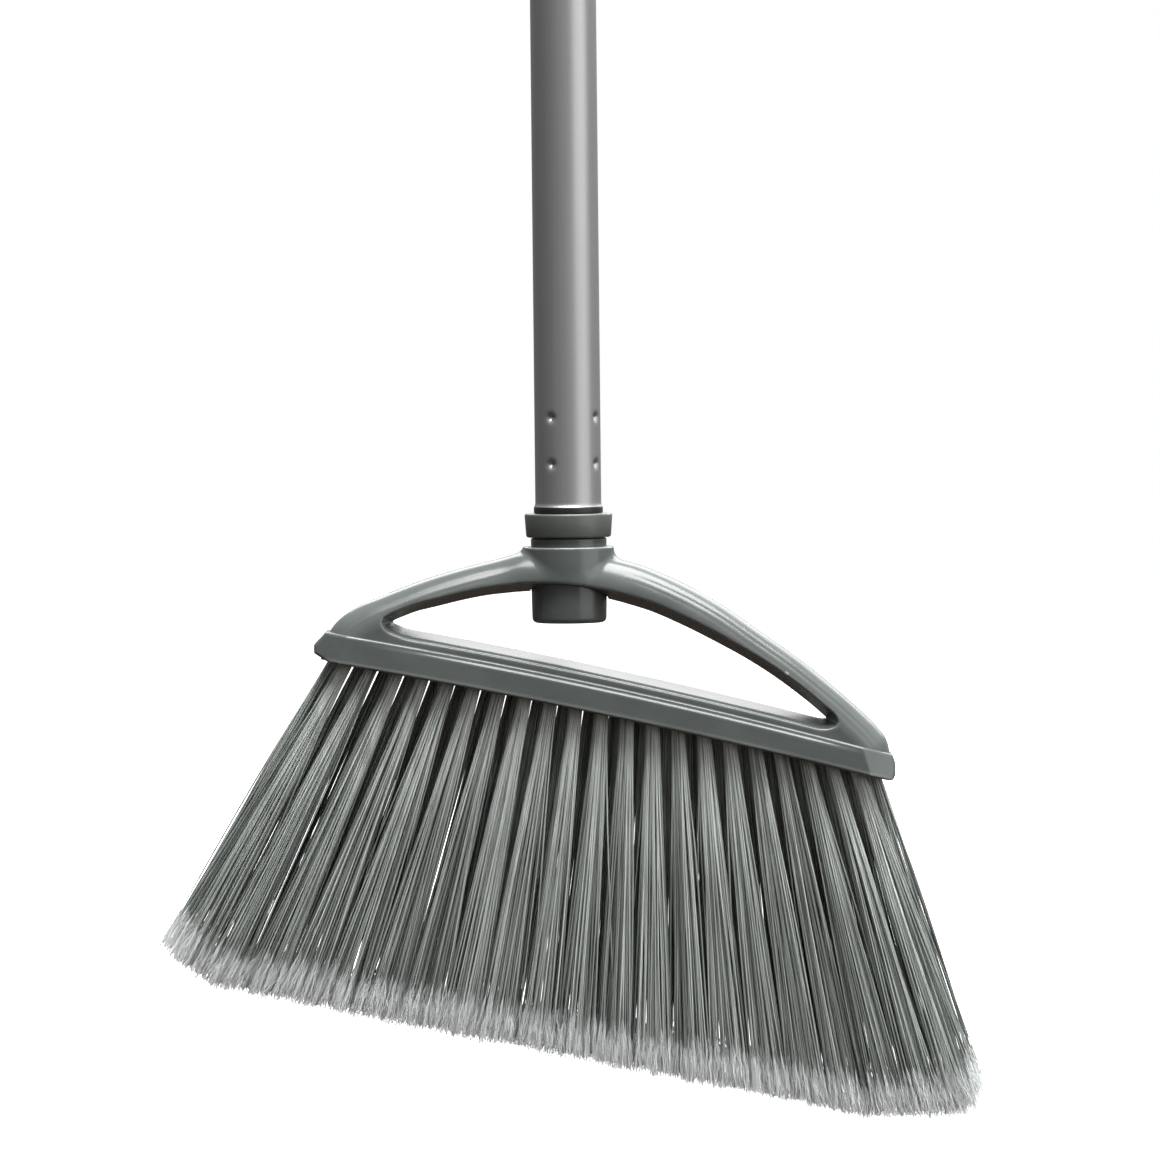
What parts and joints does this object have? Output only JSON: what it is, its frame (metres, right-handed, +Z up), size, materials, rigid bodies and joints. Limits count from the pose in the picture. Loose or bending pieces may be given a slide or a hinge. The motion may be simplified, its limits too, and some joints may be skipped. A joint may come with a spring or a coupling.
{
  "type": "angle broom",
  "caption": "Angle broom: a slanted, fanned brush in a moulded bridge head with an open window, on a screw-in metal tube handle with a swivelling hang-up cap.",
  "frame": {"origin": "on the back face of the hang-up cap, just under its hole, where the broom rests against the wall it hangs on", "axes": "+Z up the handle, +X along the brush to its deep side, +Y to the back"},
  "size_m": [0.3168, 0.0444, 1.376],
  "materials": {
    "head_plastic": "satin grey-green moulded polypropylene",
    "collar_plastic": "satin grey-green moulded plastic",
    "bristle": "drawn grey polyester filament with split, whitish tips",
    "handle_metal": "satin silver-grey coating on thin steel tube",
    "black_plastic": "black moulded plastic"
  },
  "bodies": {
    "hanger": {"hang_cap": "black_plastic"},
    "handle": {"threaded_insert": "black_plastic", "handle_tube": "handle_metal", "top_plug": "black_plastic"},
    "collar": {"lock_collar": "collar_plastic"},
    "head": {"bridge_frame": "head_plastic", "threaded_socket": "head_plastic", "brush_block": "head_plastic", "tuft_front_01": "bristle", "tuft_front_02": "bristle", "tuft_front_03": "bristle", "tuft_front_04": "bristle", "tuft_front_05": "bristle", "tuft_front_06": "bristle", "tuft_front_07": "bristle", "tuft_front_08": "bristle", "tuft_front_09": "bristle", "tuft_front_10": "bristle", "tuft_front_11": "bristle", "tuft_front_12": "bristle", "tuft_front_13": "bristle", "tuft_front_14": "bristle", "tuft_front_15": "bristle", "tuft_front_16": "bristle", "tuft_front_17": "bristle", "tuft_front_18": "bristle", "tuft_front_19": "bristle", "tuft_front_20": "bristle", "tuft_front_21": "bristle", "tuft_back_01": "bristle", "tuft_back_02": "bristle", "tuft_back_03": "bristle", "tuft_back_04": "bristle", "tuft_back_05": "bristle", "tuft_back_06": "bristle", "tuft_back_07": "bristle", "tuft_back_08": "bristle", "tuft_back_09": "bristle", "tuft_back_10": "bristle", "tuft_back_11": "bristle", "tuft_back_12": "bristle", "tuft_back_13": "bristle", "tuft_back_14": "bristle", "tuft_back_15": "bristle", "tuft_back_16": "bristle", "tuft_back_17": "bristle", "tuft_back_18": "bristle", "tuft_back_19": "bristle", "tuft_back_20": "bristle", "tuft_back_21": "bristle", "tuft_back_22": "bristle"}
  },
  "joints": [
    {"name": "hanger_swivel", "type": "hinge", "parent": "hanger", "child": "handle", "pos_m": [0, -0.0037, -0.023], "axis": [0, 0, 1], "continuous": true},
    {"name": "head_unscrew", "type": "hinge", "parent": "handle", "child": "collar", "pos_m": [0, -0.0037, -1.13], "axis": [0, 0, -1], "range_deg": [0, 2160]},
    {"name": "head_travel", "type": "slide", "parent": "collar", "child": "head", "axis": [0, 0, -1], "range_m": [0, 0.03047]}
  ],
  "couplings": [
    {"joint": "head_unscrew", "follows": "head_travel", "rad_per_m": 1236.8}
  ]
}
